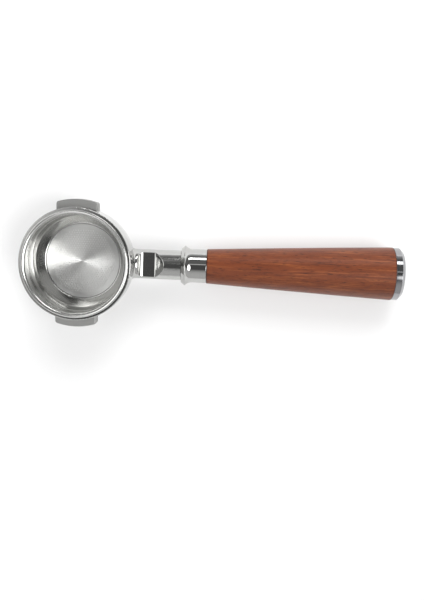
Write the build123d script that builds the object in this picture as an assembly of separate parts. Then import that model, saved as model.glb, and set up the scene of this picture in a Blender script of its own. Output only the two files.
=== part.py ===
from build123d import *
from math import acos, cos, degrees, hypot, radians, sin, sqrt, tan
import os

# A bottomless 58 mm portafilter: a cast locking ring with its arm, a pressed filter basket held by a
# bent wire spring, and a turned wooden grip clamped by a threaded rod between a ferrule and an end cap.
#
# Everything is in millimetres. The ring's axis is Z and the group head is above it. Z = 0 is the land
# on top of the ring, where the basket's lip rests. The handle leaves towards +X and slopes down a
# little. Handle pieces are turned about a local Z along the handle, then placed by on_handle().

# --- Filter basket, pressed from sheet ---
basket_bore_radius = 29.25
sheet = 0.8
lip_overhang = 1.85
lip_thickness = 1.3
lip_inner_bend = 2.0
lip_under_bend = 0.95
lip_outer_round = 0.65
bead_depth = 10.0
bead_width = 3.0
bead_bulge = 0.5
wall_taper = 0.75
wall_depth = 18.3
floor_depth = 24.0
floor_radius = 23.7
shoulder_bend = 2.5
floor_bend = 0.8
hole_diameter = 0.6
hole_pitch = 1.55
perforated_radius = 20.4

# --- Locking ring ---
bead_clearance = 0.3
land_margin = 1.6
ring_height = 34.0
collar_height = 9.0
ring_taper = 3.0
ring_mouth_wall = 3.2
well_depth = 20.0
well_chamfer = 0.5
ring_top_round = 0.5
ring_bottom_round = 0.8

# --- Locking lugs ---
lug_reach = 4.7
lug_width = 24.6
lug_top_depth = 5.0
lug_thickness = 8.0
lug_corner_round = 1.6
lug_edge_round = 0.6

# --- Basket spring, one bent wire in a groove of the ring ---
wire_diameter = 1.2
spring_bead_gap = 0.1
spring_wall_gap = 0.1
groove_clearance = 0.3
spring_groove_depth = 1.4
spring_flats = 4
spring_opening = 24.0
spring_bend = 8.0

# --- Arm, cast in one with the ring ---
arm_radius = 9.05
arm_depth = 20.7
handle_slope = 2.1
arm_length = 61.6
arm_root_round = 2.2
arm_end_chamfer = 0.4
notch_depth = 3.95
notch_start = 35.2
notch_foot = 45.7
notch_ramp = 5.4
notch_start_round = 3.6
notch_foot_round = 1.5
notch_edge_round = 0.5

# --- Threaded joints, drawn as plain cylinders ---
thread_radius = 5.0
thread_clearance = 0.05
thread_chamfer = 1.0
arm_thread_depth = 12.6
rod_end_gap = 0.5

# --- Ferrule and its seal ---
ferrule_length = 15.4
ferrule_radius = 10.3
flange_radius = 12.4
flange_position = 2.2
flange_round = 0.35
front_cone_radius = 10.6
flare_length = 4.3
ferrule_bore_clearance = 0.2
spigot_radius = 7.8
spigot_length = 8.0
seal_margin = 1.05
seal_rod_gap = 1.0
seal_section = 1.0
seal_clearance = 0.1
edge_break = 0.3

# --- Wooden grip ---
grip_length = 113.4
grip_front_radius = 10.55
grip_rear_radius = 16.2
grip_belly = 0.2
grip_bore_clearance = 0.3
spigot_clearance = 0.1
grip_edge_round = 0.5

# --- Clamp stack in the pocket behind the grip ---
pocket_radius = 11.8
pocket_depth = 22.5
washer_radius = 10.5
washer_thickness = 2.0
washer_clearance = 0.3
lock_washer_radius = 9.0
lock_washer_thickness = 2.2
lock_washer_split = 1.2
nut_across_flats = 17.0
nut_thickness = 8.0
nut_chamfer_angle = 30.0

# --- End cap and its O-ring ---
cap_radius = 16.0
cap_band = 3.6
cap_chamfer = 1.9
cap_dome = 1.0
cap_spigot_length = 8.5
cap_spigot_clearance = 0.1
cap_thread_depth = 7.0
o_ring_section = 1.6
o_ring_clearance = 0.05
o_ring_setback = 3.6

# --- Worked out from the sizes above ---
basket_wall_radius = basket_bore_radius + sheet
lip_radius = basket_wall_radius + lip_overhang
ring_bore_radius = basket_wall_radius + bead_bulge + bead_clearance
ring_radius = lip_radius + land_margin
ring_bottom_radius = ring_radius - ring_taper
ring_mouth_radius = ring_bottom_radius - ring_mouth_wall
lug_radius = ring_radius + lug_reach
wire_radius = wire_diameter / 2
groove_radius = ring_bore_radius + spring_groove_depth
groove_height = wire_diameter + 2 * groove_clearance
spring_depth = bead_depth - bead_width / 2 - wire_radius - spring_bead_gap
notch_height = arm_radius - notch_depth
hole_radius = thread_radius + thread_clearance
ferrule_bore_radius = thread_radius + ferrule_bore_clearance
seal_radius = arm_radius - seal_margin
seal_inner_radius = thread_radius + seal_rod_gap
grip_start = arm_length + ferrule_length
grip_end = grip_start + grip_length
pocket_floor = grip_end - pocket_depth
rod_start = arm_length - arm_thread_depth + rod_end_gap
rod_end = grip_end - cap_spigot_length + cap_thread_depth - rod_end_gap
cap_spigot_radius = pocket_radius - cap_spigot_clearance
o_ring_groove_radius = pocket_radius - o_ring_section
handle_direction = (cos(radians(handle_slope)), 0, -sin(radians(handle_slope)))
handle_up = (sin(radians(handle_slope)), 0, cos(radians(handle_slope)))
handle_plane = Plane(origin=(0, 0, -arm_depth), x_dir=handle_up, z_dir=handle_direction)


def at(radius, height):
    """A point of an outline that is turned about Z."""
    return (radius, 0, height)


def outline(*lines):
    """The flat face inside a closed outline of lines and arcs."""
    return make_face([edge for line in lines for edge in line.edges()])


def turned(*lines):
    """A solid turned about Z from the lines and arcs of a closed outline."""
    return revolve(outline(*lines), Axis.Z)


def turned_polygon(*points):
    """A solid turned about Z from a closed polygon of (radius, height) points."""
    return revolve(make_face(Polyline(*[at(r, z) for r, z in points], close=True)), Axis.Z)


def tube(outer, inner, start, end):
    """A plain tube about Z."""
    return turned_polygon((inner, start), (outer, start), (outer, end), (inner, end))


def rod(radius, start, end):
    """A plain round bar about Z."""
    return Pos(0, 0, start) * Cylinder(radius, end - start, align=(Align.CENTER, Align.CENTER, Align.MIN))


def on_handle(solid):
    """Places a solid that is turned about the local Z onto the handle's axis."""
    return handle_plane.location * solid


def circles_at(solid, radius, height):
    """The circular edges of this radius and height about Z."""
    return [
        edge for edge in solid.edges().filter_by(GeomType.CIRCLE)
        if abs(edge.radius - radius) < 0.01 and abs(edge.arc_center.Z - height) < 0.01
    ]


# --- Locking ring with lugs and arm ---
def ring_blank():
    """The outside of the ring with no bore: a straight collar, then a curve drawn in to the bottom."""
    top = Line(at(0, 0), at(ring_radius, 0))
    collar = Line(top @ 1, at(ring_radius, -collar_height))
    bowl = TangentArc(collar @ 1, at(ring_bottom_radius, -ring_height), tangent=(0, 0, -1))
    rest = Polyline(bowl @ 1, at(0, -ring_height), at(0, 0))
    blank = turned(top, collar, bowl, rest)
    blank = fillet(circles_at(blank, ring_radius, 0), ring_top_round)
    return fillet(circles_at(blank, ring_bottom_radius, -ring_height), ring_bottom_round)


def ring_well():
    """The space inside the ring: a bore for the basket, the spring's groove, and a mouth below."""
    bore = turned_polygon(
        (0, 1), (ring_bore_radius + well_chamfer + 1, 1), (ring_bore_radius, -well_chamfer),
        (ring_bore_radius, -well_depth), (ring_mouth_radius, -ring_height),
        (ring_mouth_radius, -ring_height - 1), (0, -ring_height - 1),
    )
    groove = Pos(0, 0, -spring_depth) * Cylinder(groove_radius, groove_height)
    return bore + groove


def lugs():
    """Two ears with parallel sides and an outer face on an arc about the ring's axis."""
    middle_height = -lug_top_depth - lug_thickness / 2
    middle = Pos(0, 0, middle_height)
    ears = middle * Box(lug_width, 2 * lug_radius + 2, lug_thickness)
    ears = ears & middle * Cylinder(lug_radius, lug_thickness)
    corners = [e for e in ears.edges().filter_by(Axis.Z) if abs(e.center().Y) > ring_radius - lug_width / 4]
    ears = fillet(corners, lug_corner_round)
    rims = [e for e in ears.edges() if abs(e.center().Z - middle_height) > lug_thickness / 3]
    return fillet(rims, lug_edge_round)


def arm_notch():
    """The cutter for the notch on top of the arm: a flat floor with a ramp behind it."""
    above = arm_radius
    section = make_face(Polyline(
        at(notch_height, notch_start), at(notch_height, notch_foot),
        at(notch_height + above, notch_foot + notch_ramp * above / notch_depth),
        at(notch_height + above, notch_start), close=True,
    ))
    for corner, rounding in ((notch_start, notch_start_round), (notch_foot, notch_foot_round)):
        nearest = section.vertices().sort_by_distance(at(notch_height, corner))[0]
        section = fillet(nearest, rounding)
    return extrude(section, 2 * arm_radius, both=True)


def portafilter_body():
    """The ring, its two lugs and its arm, all one casting, with the hole for the rod."""
    blank = ring_blank()
    bar = rod(arm_radius, 0, arm_length)
    bar = on_handle(chamfer(circles_at(bar, arm_radius, arm_length), arm_end_chamfer))
    joined = blank + bar
    joined = fillet(new_edges(blank, bar, combined=joined), arm_root_round)
    cutter = on_handle(arm_notch())
    notched = joined - cutter
    notched = fillet(new_edges(joined, cutter, combined=notched), notch_edge_round)
    rod_hole = on_handle(rod(hole_radius, arm_length - arm_thread_depth, arm_length + 1))
    return notched + lugs() - ring_well() - rod_hole


# --- Filter basket ---
def offset_corner(before, corner, after, distance):
    """Where a corner of an outline goes when the outline is moved sideways by the distance."""
    first = (corner[0] - before[0], corner[1] - before[1])
    second = (after[0] - corner[0], after[1] - corner[1])
    first_size, second_size = hypot(*first), hypot(*second)
    normal = (-first[1] / first_size, first[0] / first_size)
    next_normal = (-second[1] / second_size, second[0] / second_size)
    share = distance / (1 + normal[0] * next_normal[0] + normal[1] * next_normal[1])
    move = (share * (normal[0] + next_normal[0]), share * (normal[1] + next_normal[1]))
    return (corner[0] + move[0], corner[1] + move[1])


def basket_shell():
    """The basket with a plain floor: a rolled lip, a bead in the wall and a drawn-in bottom."""
    bead_top = -bead_depth + bead_width / 2
    bead_bottom = -bead_depth - bead_width / 2
    wall_foot = (basket_bore_radius - wall_taper, -wall_depth)
    corner = (floor_radius, -floor_depth)
    outer_start = (basket_wall_radius, bead_bottom)
    outer_foot = offset_corner((basket_bore_radius, bead_bottom), wall_foot, corner, sheet)
    outer_corner = offset_corner(wall_foot, corner, (0, -floor_depth), sheet)
    inner_lip = basket_bore_radius + lip_inner_bend
    under_lip = basket_wall_radius + lip_under_bend

    inside = Polyline(at(0, -floor_depth), at(*corner), at(*wall_foot), at(basket_bore_radius, bead_bottom))
    inside_bead = ThreePointArc(
        inside @ 1, at(basket_bore_radius + bead_bulge, -bead_depth), at(basket_bore_radius, bead_top)
    )
    inside_top = Line(inside_bead @ 1, at(basket_bore_radius, lip_thickness - lip_inner_bend))
    lip_bend = TangentArc(inside_top @ 1, at(inner_lip, lip_thickness), tangent=(0, 0, 1))
    lip_edge = TangentArc(lip_bend @ 1, at(lip_radius, lip_thickness - lip_outer_round), tangent=(1, 0, 0))
    lip_side = Polyline(lip_edge @ 1, at(lip_radius, 0), at(under_lip, 0))
    under_bend = TangentArc(lip_side @ 1, at(basket_wall_radius, -lip_under_bend), tangent=(-1, 0, 0))
    outside_top = Line(under_bend @ 1, at(basket_wall_radius, bead_top))
    outside_bead = ThreePointArc(
        outside_top @ 1, at(basket_wall_radius + bead_bulge, -bead_depth), at(*outer_start)
    )
    outside = Polyline(
        outside_bead @ 1, at(*outer_foot), at(*outer_corner), at(0, -floor_depth - sheet),
        at(0, -floor_depth),
    )
    shell = turned(inside, inside_bead, inside_top, lip_bend, lip_edge, lip_side, under_bend,
                   outside_top, outside_bead, outside)
    shell = fillet(circles_at(shell, *wall_foot), shoulder_bend)
    shell = fillet(circles_at(shell, *outer_foot), shoulder_bend + sheet)
    shell = fillet(circles_at(shell, *corner), floor_bend)
    return fillet(circles_at(shell, *outer_corner), floor_bend + sheet)


def hole_places():
    """Where the holes of the floor are: a staggered grid inside the perforated circle."""
    row_pitch = hole_pitch * sqrt(3) / 2
    rows = int(perforated_radius / row_pitch)
    columns = int(perforated_radius / hole_pitch) + 1
    places = []
    for row in range(-rows, rows + 1):
        for column in range(-columns, columns + 1):
            x = (column + (row % 2) / 2) * hole_pitch
            y = row * row_pitch
            if hypot(x, y) <= perforated_radius - hole_diameter / 2:
                places.append((x, y))
    return places


def filter_basket():
    """The shell with its middle replaced by a perforated disc of the same thickness."""
    disc_radius = (perforated_radius + floor_radius) / 2
    underside = -floor_depth - sheet
    holes = [Pos(x, y, underside) * Wire.make_circle(hole_diameter / 2) for x, y in hole_places()]
    disc = extrude(Face(Pos(0, 0, underside) * Wire.make_circle(disc_radius), holes), sheet)
    opening = rod(disc_radius, underside - 1, -floor_depth + 1)
    return (basket_shell() - opening) + disc


# --- Basket spring ---
def basket_spring():
    """An open ring of wire in the groove, with flats that reach in to the basket's wall."""
    arc_radius = groove_radius - groove_clearance - wire_radius
    flat_distance = basket_wall_radius + spring_wall_gap + wire_radius
    half_flat = degrees(acos(flat_distance / arc_radius))
    step = 360 / spring_flats
    path = []

    def turn(angle):
        return (arc_radius * cos(radians(angle)), arc_radius * sin(radians(angle)), -spring_depth)

    def arc(first, last):
        return ThreePointArc(turn(first), turn((first + last) / 2), turn(last))

    for index in range(spring_flats):
        middle = step * (index + 0.5)
        start = spring_opening / 2 if index == 0 else step * index
        end = 360 - spring_opening / 2 if index == spring_flats - 1 else step * (index + 1)
        path.append(arc(start, middle - half_flat))
        path.append(Line(turn(middle - half_flat), turn(middle + half_flat)))
        path.append(arc(middle + half_flat, end))
    wire = Wire([edge for line in path for edge in line.edges()])
    corners = wire.vertices().sort_by(wire)[1:-1]
    wire = wire.fillet_2d(spring_bend, corners)
    return sweep(Plane(wire @ 0, z_dir=wire % 0) * Circle(wire_radius), path=wire)


# --- Handle pieces, turned about the handle's axis ---
def ferrule():
    """A steel collar with a flared flange in front and a spigot that centres the wood."""
    front = Polyline(
        at(seal_inner_radius, seal_section), at(seal_radius + seal_clearance, seal_section),
        at(seal_radius + seal_clearance, 0), at(front_cone_radius, 0), at(flange_radius, flange_position),
    )
    side_start = flange_position + flare_length
    spigot_end = ferrule_length + spigot_length
    flare = TangentArc(at(ferrule_radius, side_start), front @ 1, tangent=(0, 0, -1))
    rest = Polyline(
        at(ferrule_radius, side_start), at(ferrule_radius, ferrule_length - edge_break),
        at(ferrule_radius - edge_break, ferrule_length), at(spigot_radius, ferrule_length),
        at(spigot_radius, spigot_end), at(ferrule_bore_radius, spigot_end),
        at(ferrule_bore_radius, seal_section), at(seal_inner_radius, seal_section),
    )
    solid = turned(front, flare, rest)
    solid = fillet(circles_at(solid, flange_radius, flange_position), flange_round)
    return on_handle(Pos(0, 0, arm_length) * solid)


def ferrule_seal():
    """A flat ring between the arm's end and the ferrule that keeps water out of the handle."""
    return on_handle(tube(seal_radius, seal_inner_radius, arm_length, arm_length + seal_section))


def wood_grip():
    """The turned grip: a slender barrel shape, bored through, with a counterbore at each end."""
    bore = thread_radius + grip_bore_clearance
    front_bore = spigot_radius + spigot_clearance
    middle_radius = (grip_front_radius + grip_rear_radius) / 2 + grip_belly
    side = ThreePointArc(
        at(grip_front_radius, grip_start), at(middle_radius, (grip_start + grip_end) / 2),
        at(grip_rear_radius, grip_end),
    )
    rest = Polyline(
        at(grip_rear_radius, grip_end), at(pocket_radius, grip_end), at(pocket_radius, pocket_floor),
        at(bore, pocket_floor), at(bore, grip_start + spigot_length + spigot_clearance),
        at(front_bore, grip_start + spigot_length + spigot_clearance), at(front_bore, grip_start),
        at(grip_front_radius, grip_start),
    )
    section = outline(side, rest)
    rims = [section.vertices().sort_by_distance(point)[0] for point in (side @ 0, side @ 1)]
    return on_handle(revolve(fillet(rims, grip_edge_round), Axis.Z))


def handle_rod():
    """The threaded rod that runs from the arm through the grip to the cap."""
    bar = rod(thread_radius, rod_start, rod_end)
    ends = circles_at(bar, thread_radius, rod_start) + circles_at(bar, thread_radius, rod_end)
    return on_handle(chamfer(ends, thread_chamfer))


def clamp_washer():
    start = pocket_floor
    return on_handle(tube(washer_radius, thread_radius + washer_clearance, start, start + washer_thickness))


def lock_washer():
    """A split washer, drawn pressed flat."""
    start = pocket_floor + washer_thickness
    ring = tube(lock_washer_radius, thread_radius + washer_clearance, start, start + lock_washer_thickness)
    middle = Pos(0, lock_washer_radius, start + lock_washer_thickness / 2)
    split = Box(lock_washer_split, 2 * lock_washer_radius, lock_washer_thickness + 1)
    return on_handle(ring - middle * split)


def clamp_nut():
    """A hexagon nut with both faces turned down to a circle at the corners."""
    start = pocket_floor + washer_thickness + lock_washer_thickness
    flat_radius = nut_across_flats / 2
    corner_radius = flat_radius / cos(radians(30))
    drop = (corner_radius - flat_radius) * tan(radians(nut_chamfer_angle))
    blank = Pos(0, 0, start) * extrude(RegularPolygon(flat_radius, 6, major_radius=False), nut_thickness)
    top = start + nut_thickness
    turned_down = turned_polygon(
        (0, start), (flat_radius, start), (corner_radius, start + drop), (corner_radius, top - drop),
        (flat_radius, top), (0, top),
    )
    return on_handle((blank & turned_down) - rod(hole_radius, start - 1, top + 1))


# --- End cap ---
def end_cap():
    """The polished cap: a straight band, a chamfer and a shallow dome, on a spigot with a seal groove."""
    back = grip_end + cap_band + cap_chamfer
    dome_edge = cap_radius - cap_chamfer
    groove_end = grip_end - o_ring_setback + o_ring_section + o_ring_clearance
    groove_start = grip_end - o_ring_setback - o_ring_clearance
    spigot_end = grip_end - cap_spigot_length
    dome = ThreePointArc(at(-dome_edge, back), at(0, back + cap_dome), at(dome_edge, back))
    half_dome = dome.trim(0.5, 1)
    rest = Polyline(
        half_dome @ 1, at(cap_radius, grip_end + cap_band), at(cap_radius, grip_end),
        at(cap_spigot_radius, grip_end), at(cap_spigot_radius, groove_end),
        at(o_ring_groove_radius, groove_end), at(o_ring_groove_radius, groove_start),
        at(cap_spigot_radius, groove_start), at(cap_spigot_radius, spigot_end),
        at(hole_radius, spigot_end), at(hole_radius, spigot_end + cap_thread_depth),
        at(0, spigot_end + cap_thread_depth), half_dome @ 0,
    )
    return on_handle(turned(half_dome, rest))


def cap_o_ring():
    """The seal in the cap's groove, drawn squeezed between the groove and the wood."""
    middle = o_ring_groove_radius + o_ring_section / 2
    height = grip_end - o_ring_setback + o_ring_section / 2
    return on_handle(Pos(0, 0, height) * Torus(middle, o_ring_section / 2))


os.makedirs("parts", exist_ok=True)
for make_piece in (
    portafilter_body, filter_basket, basket_spring, ferrule, ferrule_seal, wood_grip, handle_rod,
    clamp_washer, lock_washer, clamp_nut, end_cap, cap_o_ring,
):
    export_step(make_piece(), f"parts/{make_piece.__name__}.step")
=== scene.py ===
"""The looks of a bottomless portafilter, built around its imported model.

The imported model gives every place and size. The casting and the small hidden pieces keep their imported
shapes and get finishes here. The basket, ferrule, grip, rod and cap are worked out again as smooth
surfaces of the same sizes, with the wood's grain, the rod's thread and the basket's holes.

The ring's axis is Z, with the group head above it, and the handle leaves towards +X. Sizes are in
millimetres, and they become metres where a mesh is written.
"""

import logging
import math
from dataclasses import dataclass
from enum import Enum, IntEnum

import bpy
import numpy as np
from bpy.types import Material, Node, NodeOutputs, NodeSocket, NodeTree, Object
from mathutils import Matrix, Vector
from mathutils.geometry import delaunay_2d_cdt


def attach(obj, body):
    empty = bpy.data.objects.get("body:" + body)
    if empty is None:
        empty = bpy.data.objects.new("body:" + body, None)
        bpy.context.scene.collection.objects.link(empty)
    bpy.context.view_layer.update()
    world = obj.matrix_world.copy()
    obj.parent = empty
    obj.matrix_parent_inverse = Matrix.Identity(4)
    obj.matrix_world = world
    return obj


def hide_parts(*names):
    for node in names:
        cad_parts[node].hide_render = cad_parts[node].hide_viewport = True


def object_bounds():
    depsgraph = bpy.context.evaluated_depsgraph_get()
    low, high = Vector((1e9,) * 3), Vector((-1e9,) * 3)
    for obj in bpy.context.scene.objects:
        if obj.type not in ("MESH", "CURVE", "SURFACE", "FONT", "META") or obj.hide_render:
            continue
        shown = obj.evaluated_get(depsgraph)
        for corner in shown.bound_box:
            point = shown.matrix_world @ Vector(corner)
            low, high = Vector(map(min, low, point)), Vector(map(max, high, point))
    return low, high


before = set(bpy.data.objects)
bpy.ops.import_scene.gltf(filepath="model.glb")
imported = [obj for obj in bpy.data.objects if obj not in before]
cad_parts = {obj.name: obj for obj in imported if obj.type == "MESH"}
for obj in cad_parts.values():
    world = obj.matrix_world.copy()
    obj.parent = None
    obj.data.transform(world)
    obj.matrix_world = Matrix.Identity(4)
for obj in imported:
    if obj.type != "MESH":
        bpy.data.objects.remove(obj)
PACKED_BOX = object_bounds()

MM = 0.001
LOG = logging.getLogger("portafilter")

Array = np.ndarray
Colour = tuple[float, float, float, float]


def linear(hex_code: str) -> Colour:
    """Turns an sRGB colour into linear light: a straight toe, then the 2.4 power curve.

    Args:
        hex_code: six hex digits, such as "C8C8C6".

    Returns:
        Red, green, blue and an alpha of one.
    """
    values = [int(hex_code[i:i + 2], 16) / 255 for i in (0, 2, 4)]
    light = [v / 12.92 if v <= 0.04045 else ((v + 0.055) / 1.055) ** 2.4 for v in values]
    return (light[0], light[1], light[2], 1.0)


# Surfaces


@dataclass(frozen=True)
class Placement:
    """Where a turned piece stands: the origin of its axis, and how far the axis tips over from Z."""

    origin: tuple[float, float, float] = (0.0, 0.0, 0.0)
    tip_degrees: float = 0.0

    def turned(self, vectors: Array) -> Array:
        """Turns directions from the piece's own axes to the part's.

        With no tip they stay as they are. With a tip t the axis points to (sin t, 0, cos t), the
        piece's x side points to (-cos t, 0, sin t), which is up for a handle, and y to (0, -1, 0).

        Args:
            vectors: directions, with x, y and z last.

        Returns:
            The turned directions.
        """
        if not self.tip_degrees:
            return vectors
        tip = math.radians(self.tip_degrees)
        axes = np.array([[-math.cos(tip), 0, math.sin(tip)], [0, -1, 0], [math.sin(tip), 0, math.cos(tip)]])
        return vectors @ axes

    def placed(self, points: Array) -> Array:
        """Turns points as above and moves them to the origin of the axis."""
        return self.turned(points) + np.array(self.origin)


@dataclass
class Patch:
    """A piece of surface: points, faces with as many corners each, and a normal and a UV per corner."""

    points: Array
    faces: Array
    normals: Array
    uv: Array
    finish: int = 0
    smooth: bool = True


@dataclass(frozen=True)
class Corner:
    """A corner of an outline: its distance from the axis, its height, and the radius it is rounded to."""

    radius: float
    height: float
    rounding: float = 0.0


@dataclass
class Outline:
    """The section of a turned piece, walked with the material on its left."""

    corners: list[Corner]
    closed: bool = True
    arc_step_degrees: float = 11.25
    longest: float = 2.5

    def points(self) -> Array:
        """Rounds the corners and divides the long stretches.

        A rounding of radius r touches both sides at r / tan(half the corner's angle), and its centre
        is r / sin(half the angle) along the line that halves the corner.

        Returns:
            (radius, height) rows.
        """
        places = np.array([(c.radius, c.height) for c in self.corners])
        rows: list[Array] = []
        last = len(places) - 1
        for i, corner in enumerate(self.corners):
            here = places[i]
            if corner.rounding == 0 or (not self.closed and i in (0, last)):
                rows.append(here[None, :])
                continue
            back = places[i - 1] - here
            ahead = places[(i + 1) % len(places)] - here
            back /= np.linalg.norm(back)
            ahead /= np.linalg.norm(ahead)
            half = math.acos(float(np.clip(back @ ahead, -1, 1))) / 2
            middle = (back + ahead) / np.linalg.norm(back + ahead)
            centre = here + middle * corner.rounding / math.sin(half)
            start = here + back * corner.rounding / math.tan(half) - centre
            sweep = math.pi - 2 * half
            turn = math.copysign(sweep, float(back[1] * ahead[0] - back[0] * ahead[1]))
            steps = max(2, math.ceil(math.degrees(sweep) / self.arc_step_degrees))
            angle = np.linspace(0, turn, steps + 1)[:, None]
            rows.append(centre + start * np.cos(angle) + np.array([-start[1], start[0]]) * np.sin(angle))
        walked = np.concatenate(rows)
        if self.closed:
            walked = np.vstack([walked, walked[:1]])
        lengths = np.linalg.norm(np.diff(walked, axis=0), axis=1)
        walked = walked[np.concatenate([[True], lengths > 1e-6])]
        lengths = lengths[lengths > 1e-6]
        along = np.concatenate([[0], np.cumsum(lengths)])
        parts = np.ceil(lengths / self.longest).astype(int)
        stops = np.concatenate([a + (b - a) * np.arange(n) / n for a, b, n in zip(along, along[1:], parts)])
        stops = np.append(stops, along[-1])
        return np.column_stack([np.interp(stops, along, walked[:, k]) for k in (0, 1)])


def bowed(start: tuple[float, float], end: tuple[float, float], bow: float, steps: int) -> list[Corner]:
    """The inner corners of a gently bowed stretch between two points.

    Each is on the straight line, moved to its right by bow times 4 t (1 - t), with t from 0 to 1.

    Args:
        start: radius and height of the first end, which isn't returned.
        end: radius and height of the other end, which isn't returned.
        bow: the largest distance from the straight line.
        steps: how many stretches the line is cut into.

    Returns:
        The corners between the two ends.
    """
    share = np.linspace(0, 1, steps + 1)[1:-1, None]
    run = np.array(end) - np.array(start)
    side = np.array([run[1], -run[0]]) / np.linalg.norm(run)
    points = np.array(start) + run * share + side * bow * 4 * share * (1 - share)
    return [Corner(float(r), float(z)) for r, z in points]


def unit_circle(sides: int) -> Array:
    """Points at equal steps round a circle of radius one: (cos a, sin a).

    Args:
        sides: how many points.

    Returns:
        (x, y) rows.
    """
    turn = np.arange(sides) * (2 * math.pi / sides)
    return np.column_stack([np.cos(turn), np.sin(turn)])


def turned_patch(outline: Outline, sides: int, finish: int = 0, crease_degrees: float = 30.0) -> Patch:
    """Turns an outline about Z: point (a, v) is (r(v) cos a, r(v) sin a, z(v)).

    A corner's normal is the mean of the two stretches that meet there, weighted by their lengths,
    unless they meet at more than the crease angle, where each keeps its own.

    Args:
        outline: the section.
        sides: how many steps make a full turn.
        finish: index of the patch's finish.
        crease_degrees: the angle from which a corner shows as an edge.

    Returns:
        The surface, with u of the UV once round and v once along the outline.
    """
    walk = outline.points()
    count = len(walk) - 1
    steps = np.diff(walk, axis=0)
    lengths = np.linalg.norm(steps, axis=1)
    flat = np.column_stack([steps[:, 1], -steps[:, 0]]) / lengths[:, None]
    before = np.roll(flat, 1, axis=0)
    blend = flat * lengths[:, None] + before * np.roll(lengths, 1)[:, None]
    blend /= np.linalg.norm(blend, axis=1)[:, None]
    smooth = (flat * before).sum(axis=1) > math.cos(math.radians(crease_degrees))
    if not outline.closed:
        smooth[0] = False
    at_start = np.where(smooth[:, None], blend, flat)
    at_end = np.where(np.roll(smooth, -1)[:, None], np.roll(blend, -1, axis=0), flat)

    ring = unit_circle(sides)
    points = np.empty((sides, count + 1, 3))
    points[..., :2] = ring[:, None, :] * walk[None, :, :1]
    points[..., 2] = walk[:, 1]
    index = np.arange(sides * (count + 1)).reshape(sides, count + 1)
    after = np.roll(index, -1, axis=0)
    faces = np.stack([index[:, :-1], after[:, :-1], after[:, 1:], index[:, 1:]], axis=-1)

    def spread(section: Array, shift: int) -> Array:
        """Carries the outline's normals round.

        Args:
            section: a normal for each stretch, as its radial and axial parts.
            shift: one to take each a step further round, or else nought.

        Returns:
            A normal for each face.
        """
        out = np.empty((sides, count, 3))
        out[..., :2] = np.roll(ring, -shift, axis=0)[:, None, :] * section[None, :, :1]
        out[..., 2] = section[:, 1]
        return out

    normals = np.stack([
        spread(at_start, 0), spread(at_start, 1), spread(at_end, 1), spread(at_end, 0)], axis=2)
    round_share = np.broadcast_to((np.arange(sides) / sides)[:, None], (sides, count))
    along = np.concatenate([[0], np.cumsum(lengths)]) / lengths.sum()
    low, high = (np.broadcast_to(a, (sides, count)) for a in (along[:-1], along[1:]))
    next_share = round_share + 1 / sides
    uv = np.stack([
        np.stack([round_share, low], -1), np.stack([next_share, low], -1),
        np.stack([next_share, high], -1), np.stack([round_share, high], -1),
    ], axis=2)
    return Patch(points.reshape(-1, 3), faces.reshape(-1, 4), normals.reshape(-1, 4, 3),
                 uv.reshape(-1, 4, 2), finish)


def new_object(name: str, data: bpy.types.ID) -> Object:
    """Makes an object from its data.

    Args:
        name: the object's name.
        data: a mesh, camera or light.

    Returns:
        The object, in the scene.
    """
    made = bpy.data.objects.new(name, data)
    bpy.context.scene.collection.objects.link(made)
    return made


def write_mesh(name: str, patches: list[Patch], finishes: list[Material],
               placement: Placement = Placement()) -> Object:
    """Joins patches into one closed mesh object whose place is in its mesh.

    Points that agree to a ten-thousandth of a millimetre become one, and a face whose corners fall
    together, as at a pole, loses the spare ones.

    Args:
        name: the object's name.
        patches: the surfaces, in millimetres.
        finishes: the materials that the patches' finish numbers point to.
        placement: where the piece stands.

    Returns:
        The new object, in the scene.
    """
    offsets = np.cumsum([0] + [len(p.points) for p in patches])
    points = np.concatenate([p.points for p in patches])
    merged, place_of = np.unique(np.round(points, 4), axis=0, return_inverse=True)
    place_of = place_of.ravel()
    loops, normals, uvs, totals, slots, rounds = [], [], [], [], [], []
    for patch, offset in zip(patches, offsets):
        corners = place_of[patch.faces + offset]
        kept = corners != np.roll(corners, -1, axis=1)
        whole = kept.sum(axis=1) > 2
        corners, kept = corners[whole], kept[whole]
        loops.append(corners[kept])
        normals.append(patch.normals[whole][kept])
        uvs.append(patch.uv[whole][kept])
        totals.append(kept.sum(axis=1))
        slots.append(np.full(len(corners), patch.finish))
        rounds.append(np.full(len(corners), patch.smooth))
    total = np.concatenate(totals)
    loop = np.concatenate(loops)
    mesh = bpy.data.meshes.new(name)
    mesh.vertices.add(len(merged))
    mesh.vertices.foreach_set("co", (placement.placed(merged) * MM).ravel().astype(np.float32))
    mesh.loops.add(len(loop))
    mesh.loops.foreach_set("vertex_index", loop.astype(np.int32))
    mesh.polygons.add(len(total))
    mesh.polygons.foreach_set("loop_start", np.concatenate([[0], np.cumsum(total)[:-1]]).astype(np.int32))
    mesh.polygons.foreach_set("material_index", np.concatenate(slots).astype(np.int32))
    mesh.polygons.foreach_set("use_smooth", np.concatenate(rounds))
    mesh.update(calc_edges=True)
    layer = mesh.uv_layers.new(name="turned")
    layer.uv.foreach_set("vector", np.concatenate(uvs).ravel().astype(np.float32))
    mesh.normals_split_custom_set(placement.turned(np.concatenate(normals)).tolist())
    for finish in finishes:
        mesh.materials.append(finish)
    return new_object(name, mesh)


# Finishes


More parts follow.
